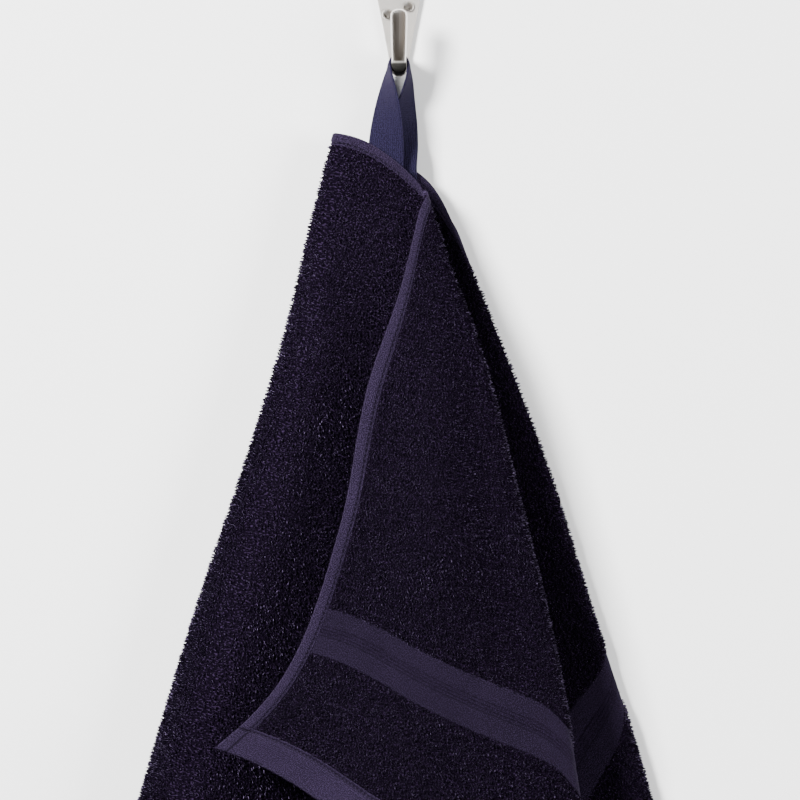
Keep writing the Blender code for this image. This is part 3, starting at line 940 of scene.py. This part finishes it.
def build_pile(sheet, ground):
    """Loops of pile on all of the cloth that shows: close together where the photo looks, wider elsewhere."""
    made = settings()
    rng = np.random.default_rng(made.seed)
    tree = BVHTree.FromObject(ground, bpy.context.evaluated_depsgraph_get())
    cells_u = np.arange(-CLOTH_LENGTH / 2 + CELL / 2, CLOTH_LENGTH / 2, CELL)
    cells_v = np.arange(CELL / 2, CLOTH_WIDTH, CELL)
    grid_u, grid_v = np.meshgrid(cells_u, cells_v, indexing="ij")
    chosen = []
    for side in (1, -1):
        found = exposure(sheet, tree, grid_u.ravel(), grid_v.ravel(), side)
        open_share, seen = (values.reshape(grid_u.shape) for values in found)
        wide = seen.copy()
        for shift in (1, -1):
            wide |= np.roll(seen, shift, 0) | np.roll(seen, shift, 1)
        for close, pitch in ((True, made.close_pitch / MM), (False, made.far_pitch / MM)):
            spots = scattered(pitch, made.seed + 2 * close + (side > 0))
            i = np.clip(((spots[:, 0] + CLOTH_LENGTH / 2) / CELL).astype(int), 0, len(cells_u) - 1)
            j = np.clip((spots[:, 1] / CELL).astype(int), 0, len(cells_v) - 1)
            open_here = (open_share[i, j] > 0.0) & (wide[i, j] == close)
            spots = spots[has_pile(spots[:, 0], spots[:, 1]) & open_here]
            chosen.append((spots, np.full(len(spots), side), np.full(len(spots), close)))
    spots, side, close = (np.concatenate(rows) for rows in zip(*chosen))
    s, r = sheet.find(spots[:, 0], spots[:, 1])
    places, square, down = sheet.surface(s, r)
    square = square * side[:, None]
    across = np.cross(square, down)
    turn = rng.uniform(0, math.pi, len(s))
    flat = down * np.cos(turn)[:, None] + across * np.sin(turn)[:, None]
    size = np.where(close, 1.0, made.far_pitch / made.close_pitch * FAR_SIZE)
    nap = NAP_WAVE[1] * wander(spots, NAP_WAVE[0], made.seed + 11)
    uneven = 1 + HEIGHT_WAVE[1] * wander(spots, HEIGHT_WAVE[0], made.seed + 5)
    height = made.pile_height * rng.uniform(*LOOP_HEIGHTS, len(s)) * uneven
    length = made.loop_length * size * rng.uniform(*LOOP_LENGTHS, len(s))
    radius = made.yarn_radius * size * rng.uniform(*LOOP_RADII, len(s))
    lean_turn = rng.uniform(0, 2 * math.pi, len(s))
    lean = down * np.cos(lean_turn)[:, None] + across * np.sin(lean_turn)[:, None]
    lean = lean * made.pile_height * LEAN_ANY + down * (made.pile_height * (LEAN_DOWN + nap))[:, None]
    dye_and_painted_shade = wander(spots, DYE_WAVE[0], made.seed + 21) * DYE_WAVE[1]
    # Painted light and shade on the flap are added to the uneven dyeing and the random scatter when each loop
    # picks its yarn shade.
    dye_and_painted_shade = dye_and_painted_shade + rng.normal(0, DYE_SCATTER, len(s)) + DYE_MIDDLE + painted_flap_light_and_shade(sheet, s, r)
    tones = np.clip((dye_and_painted_shade * made.shades).astype(int), 0, made.shades - 1)
    looks = pile_looks(made.shades)
    layer = np.clip(np.searchsorted(sheet.marks, s, side="right") - 1, 0, len(LAYER_NAMES) - 1)
    built = []
    for i, layer_name in enumerate(LAYER_NAMES):
        inside = np.flatnonzero(layer == i)
        inside = inside[np.argsort(r[inside], kind="stable")]
        parts = max(math.ceil(len(inside) / LOOPS_PER_PIECE), 1)
        for k, share in enumerate(np.array_split(inside, parts)):
            if len(share) < LEAST_LOOPS:
                continue
            name = f"pile_{layer_name}_{k + 1}"
            of_each = (places, square, lean, flat, height, length, radius, tones)
            mesh = loops_mesh(name, *(values[share] for values in of_each))
            obj = piece(name, mesh, looks[0])
            for look in looks[1:]:
                mesh.materials.append(look)
            built.append(obj)
    return built


def build_stitches(sheet, material):
    """The hems' sewing: short threads along each stitched line, on both sides of the cloth."""
    end = CLOTH_LENGTH / 2 - END_HEM + HEM_STITCH
    long_way = np.arange(-CLOTH_LENGTH / 2 + 3, CLOTH_LENGTH / 2 - 3, STITCH_PITCH)
    short_way = np.arange(SIDE_HEM, CLOTH_WIDTH - SIDE_HEM, STITCH_PITCH)
    looped = (SIDE_HEM - HEM_STITCH) * hem_share(long_way)
    far = CLOTH_WIDTH - SIDE_HEM + HEM_STITCH
    lines = [(long_way, looped, 1.0), (long_way, far, 1.0), (end, short_way, 0.0), (-end, short_way, 0.0)]
    rows = np.concatenate([np.column_stack(np.broadcast_arrays(*line)) for line in lines])
    rows = np.concatenate([np.column_stack([rows, np.full(len(rows), side)]) for side in (1, -1)])
    s, r = sheet.find(rows[:, 0], rows[:, 1])
    places, square, _ = sheet.surface(s, r)
    next_s, next_r = sheet.find(rows[:, 0] + rows[:, 2], rows[:, 1] + (1 - rows[:, 2]))
    flat = unit(sheet.surface(next_s, next_r)[0] - places)
    square = square * rows[:, 3:4]
    groove = settings().hem_thickness / 2 * STITCH_SUNK
    count = len(rows)
    sizes = (STITCH_HIGH, STITCH_LONG, STITCH_RADIUS)
    height, length, radius = (np.full(count, size * MM) for size in sizes)
    places = places + square * groove
    mesh = loops_mesh(
        "hem_stitches", places, square, np.zeros((count, 3)), flat, height, length, radius, np.zeros(count)
    )
    return piece("hem_stitches", mesh, material)


def build_tape():
    """The loop: flat woven tape whose middle hangs over the hook and whose ends go down behind the hem."""
    rows = np.array(TAPE, float)
    steps = np.linspace(0, len(TAPE) - 1, (len(TAPE) - 1) * 10 + 1)
    along = np.arange(len(TAPE))
    x, z, out, turn = [smooth_at(along, rows[:, k], steps) for k in range(4)]
    turn = np.radians(turn)
    shares = np.array([-0.5, -0.49, -0.46, -0.42, -0.3, -0.15, 0, 0.15, 0.3, 0.42, 0.46, 0.49, 0.5])
    beside_x = x[:, None] + np.cos(turn)[:, None] * shares * TAPE_WIDTH
    beside_out = out[:, None] + np.sin(turn)[:, None] * shares * TAPE_WIDTH
    places = np.stack([beside_x, np.repeat(z[:, None], len(shares), axis=1), beside_out], axis=-1)
    places = in_row_frame(places)
    run = np.gradient(places, axis=0)
    wide = np.gradient(places, axis=1)
    square = unit(np.cross(run, wide))
    length = np.concatenate([[0], np.cumsum(np.linalg.norm(np.diff(places[:, 6], axis=0), axis=1))])
    edge = 0.35 + 0.65 * np.sqrt(np.clip(1 - (abs(shares) / 0.5) ** 14, 0, 1))
    half = TAPE_THICK / 2 * MM * edge * (1 + 0.25 * np.exp(-((abs(shares) - 0.46) / 0.02) ** 2))
    flat = np.stack(np.broadcast_arrays(shares[None, :] * TAPE_WIDTH, length[:, None] / MM), axis=-1)
    lift = square * half[None, :, None]
    mesh = closed_grid("hanging_tape", places + lift, places - lift, flat)
    return mesh, float(length[-1])


def tape_look():
    """Herringbone tape: fine lengthwise cords crossed by slanting threads."""
    look = Look("tape twill")
    tape = settings().tape_color
    u, v, uv = look.flat_cloth()
    cords = waves(u, TAPE_THREAD)
    slant = waves(v + (u + TAPE_WIDTH / 2 * MM).maths("PINGPONG", TAPE_THREAD * 3), TAPE_THREAD)
    fibre = look.noise(uv, 1500.0, 1.0)
    shade = cords * 0.5 + slant * 0.25 + (fibre - 0.5) * 4.0 + 0.1
    tone = shade.mixed(opaque(tape, 0.3), opaque(tape, 1.7))
    look.feed(Base_Color=tone, Roughness=0.9, Specular_IOR_Level=0.05).sheen(0.08, 0.5)
    look.bump(cords * 0.7 + slant * 0.5 + fibre * 0.3, 0.00025)
    return look.material


def nickel_look():
    """Satin nickel: the plate cloudy with a fine brushing grain, the prong in front of it smoother, the
    prong's lower curve painted nearly black as shade where the tape hangs over it.
    """
    look = Look("satin nickel")
    metal = settings().metal_color
    place = look.node("TexCoord", out="Object")
    _, y, z = place.axes()
    prong = look.step(y * -1, PRONG_OUT)
    shaded_bend = look.step(z, SHADED_BEND_UP) * prong
    stretched = look.node("Mapping", Vector=place, Scale=(1.0, 1.0, 0.12))
    brushing = look.noise(stretched, 3500.0, 3.0)
    cloud = look.noise(place, 160.0, 2.0)
    tone = prong.mixed(cloud.mixed(opaque(metal, 0.45), opaque(metal, 0.75)), opaque(metal))
    # Painted shade: the prong's lower curve is nearly black, less metallic and rougher.
    tone = shaded_bend.mixed(tone, opaque(metal, 0.03))
    look.feed(Base_Color=tone, Metallic=(prong * 0.65 + 0.35) * (1 - shaded_bend), Specular_IOR_Level=0.0)
    look.feed(Roughness=brushing * 0.12 + 0.34 - prong * 0.04 + shaded_bend * 0.5)
    look.bump(brushing, 0.00002, 0.4)
    return look.material


def metres(name, about, default, precision=4):
    return FloatProperty(name=name, description=about, default=default, unit="LENGTH", precision=precision)


def whole(name, about, default, least=0):
    return IntProperty(name=name, description=about, default=default, min=least)


def colour(name, about, default):
    return FloatVectorProperty(name=name, description=about, default=default, subtype="COLOR", min=0, max=1)


class TowelSettings(bpy.types.PropertyGroup):
    """Sizes and colours of the towel."""

    pile_height: metres("Pile height", "Height of the loops above the cloth", 0.0019)
    loop_length: metres("Loop length", "Distance between a loop's feet", 0.0015)
    yarn_radius: metres("Yarn radius", "Half the thickness of a loop's yarn", 0.0005, 5)
    close_pitch: metres("Close pitch", "Distance between loops in the photo's view", 0.00165, 5)
    far_pitch: metres("Far pitch", "Distance between loops elsewhere", 0.0028)
    ground_thickness: metres("Ground thickness", "The cloth without its pile", 0.0013)
    hem_thickness: metres("Hem thickness", "The folded and stitched hem", 0.0030)
    border_thickness: metres("Border thickness", "The woven border without pile", 0.0018)
    ground_samples: whole("Ground samples", "Columns for each control line", 5, 1)
    ground_rows: whole("Ground rows", "Rows from the looped edge down", 96, 8)
    shades: whole("Yarn shades", "Shades of yarn in the pile", 5, 1)
    seed: whole("Seed", "Start of the random numbers", 7)
    pile_color: colour("Pile", "Dyed yarn", (0.037, 0.0225, 0.056))
    hem_color: colour("Hem", "Flat woven parts", (0.0132, 0.0090, 0.0205))
    tape_color: colour("Tape", "The hanging loop", (0.0086, 0.0070, 0.0182))
    sheen_color: colour("Sheen", "Light caught by loose fibres", (0.30, 0.23, 0.42))
    metal_color: colour("Metal", "Nickel plate", (0.70, 0.67, 0.63))
    wall_color: colour("Wall", "The stage behind the towel", (0.80, 0.80, 0.80))


class TOWEL_OT_cloth(bpy.types.Operator):
    """Make the cloth, its hems and its woven borders"""

    bl_idname = "towel.cloth"
    bl_label = "Cloth, hems and borders"

    def execute(self, context):
        sheet = Sheet()
        ground = build_ground(sheet)
        hem = weave_look("hem weave", settings().hem_color, 0.0011, hem_groove_shade)
        border = weave_look("border weave", opaque(settings().hem_color, 0.62), 0.0009, border_groove_shade)
        parts = [
            build_side_hem(sheet, "side_hem_looped", 0, hem),
            build_side_hem(sheet, "side_hem_far", 1, hem),
            build_end_hem(sheet, "end_hem_front", 1, hem),
            build_end_hem(sheet, "end_hem_rear", -1, hem),
            build_border(sheet, "border_front", 1, border),
            build_border(sheet, "border_rear", -1, border),
            build_stitches(sheet, hem),
            *build_pile(sheet, ground),
        ]
        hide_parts("towel")
        return {"FINISHED"}


class TOWEL_OT_loop(bpy.types.Operator):
    """Make the hanging loop"""

    bl_idname = "towel.loop"
    bl_label = "Hanging loop"

    def execute(self, context):
        mesh, length = build_tape()
        tape = piece("hanging_tape", outward(mesh), tape_look())
        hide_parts("hanging_loop")
        return {"FINISHED"}


class TOWEL_OT_hook(bpy.types.Operator):
    """Finish the hook and its screws"""

    bl_idname = "towel.hook"
    bl_label = "Hook and screws"

    def execute(self, context):
        metal = nickel_look()
        for name in ("hook", "screw_left", "screw_right"):
            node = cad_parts[name]
            node.data.materials.clear()
            node.data.materials.append(metal)
        return {"FINISHED"}


def wall_look():
    """Pale paint, seen through from behind so that the towel's back shows."""
    look = Look("wall paint")
    look.feed(Base_Color=opaque(settings().wall_color), Roughness=0.9, Specular_IOR_Level=0.2)
    mix = look.node("MixShader", Fac=look.node("NewGeometry", out="Backfacing"))
    inputs = mix.socket.node.inputs
    put(look.tree, inputs[1], Shade(look.tree, look.shader.outputs[0]))
    put(look.tree, inputs[2], look.node("BsdfTransparent"))
    put(look.tree, look.tree.nodes["Material Output"].inputs[0], mix)
    return look.material


def add_area_light(name, place, side, watts, aim):
    """A square light turned to aim. Metal doesn't mirror it."""
    data = bpy.data.lights.new(name, "AREA")
    data.shape = "SQUARE"
    data.size = side
    data.energy = watts
    light = bpy.data.objects.new(name, data)
    bpy.context.scene.collection.objects.link(light)
    light.location = place
    light.rotation_euler = (Vector(aim) - Vector(place)).to_track_quat("-Z", "Y").to_euler()
    light.visible_glossy = False


def studio_world():
    """Soft light all round. Glossy metal sees it dark ahead, as an unlit room, and bright above."""
    world = bpy.data.worlds.new("studio")
    world.use_nodes = True
    tree = world.node_tree
    plain = tree.nodes["Background"]
    plain.inputs[0].default_value = WORLD_COLOR
    plain.inputs[1].default_value = WORLD_LIGHT
    place = tree.nodes.new("ShaderNodeTexCoord")
    x, y, z = Shade(tree, place.outputs["Generated"]).axes()
    # Shares from 0 to 1 with soft edges: left of x 0.32, below z 0.45, the viewer's half, the floor.
    ahead = ((0.32 - x) * 1.9).clipped()
    low = ((0.45 - z) * 5.0).clipped()
    front = (y * -4.0).clipped()
    floor = ((z + 0.1) * -4.0).clipped()
    warm = (x * 1.5 + 0.2).clipped()
    unlit = (ahead * low * front).maths("MAXIMUM", floor)
    seen = tree.nodes.new("ShaderNodeBackground")
    put(tree, seen.inputs[0], unlit.mixed(warm.mixed(ROOM_BRIGHT, ROOM_WARM), ROOM_UNLIT))
    seen.inputs[1].default_value = ROOM_LIGHT
    path = tree.nodes.new("ShaderNodeLightPath")
    mix = tree.nodes.new("ShaderNodeMixShader")
    for i, output in enumerate((path.outputs["Is Glossy Ray"], plain.outputs[0], seen.outputs[0])):
        tree.links.new(output, mix.inputs[i])
    tree.links.new(mix.outputs[0], tree.nodes["World Output"].inputs[0])
    return world


class TOWEL_OT_stage(bpy.types.Operator):
    """Set the wall, the lights and the camera"""

    bl_idname = "towel.stage"
    bl_label = "Stage"

    def execute(self, context):
        scene = context.scene
        bpy.ops.object.select_all(action="DESELECT")
        bpy.ops.mesh.primitive_plane_add(
            size=WALL_SIDE, location=(0, WALL_BEHIND, -0.2), rotation=(math.radians(90), 0, 0)
        )
        wall = context.object
        wall.name = "wall"
        bpy.ops.object.transform_apply(location=True, rotation=True, scale=True)
        wall.data.materials.append(wall_look())
        middle = (0, 0, (ORIGIN_DOWN - PHOTO_SIDE / 2) / PIXELS_PER_MM * MM)
        for name, place, side, watts in LIGHTS:
            add_area_light(name, place, side, watts, middle)
        scene.world = studio_world()
        wide = PHOTO_SIDE / PIXELS_PER_MM * MM
        data = bpy.data.cameras.new("camera")
        data.lens = CAMERA_LENS
        data.sensor_width = CAMERA_SENSOR
        camera = bpy.data.objects.new("camera", data)
        scene.collection.objects.link(camera)
        camera.location = (0, -wide * CAMERA_LENS / CAMERA_SENSOR, middle[2])
        camera.rotation_euler = (math.radians(90), 0, 0)
        scene.camera = camera
        return {"FINISHED"}


class TOWEL_PT_panel(bpy.types.Panel):
    bl_label = "Hand towel"
    bl_idname = "TOWEL_PT_panel"
    bl_space_type = "VIEW_3D"
    bl_region_type = "UI"
    bl_category = "Towel"

    def draw(self, context):
        layout = self.layout
        for name in TowelSettings.__annotations__:
            layout.prop(context.scene.hand_towel, name)
        for operator in OPERATORS:
            layout.operator(operator.bl_idname)


OPERATORS = (TOWEL_OT_cloth, TOWEL_OT_loop, TOWEL_OT_hook, TOWEL_OT_stage)
CLASSES = (TowelSettings, *OPERATORS, TOWEL_PT_panel)


def register():
    for cls in CLASSES:
        bpy.utils.register_class(cls)
    bpy.types.Scene.hand_towel = bpy.props.PointerProperty(type=TowelSettings)


def unregister():
    del bpy.types.Scene.hand_towel
    for cls in reversed(CLASSES):
        bpy.utils.unregister_class(cls)


def main():
    register()
    bpy.ops.towel.cloth()
    bpy.ops.towel.loop()
    bpy.ops.towel.hook()
    bpy.ops.towel.stage()


if __name__ == "__main__":
    main()
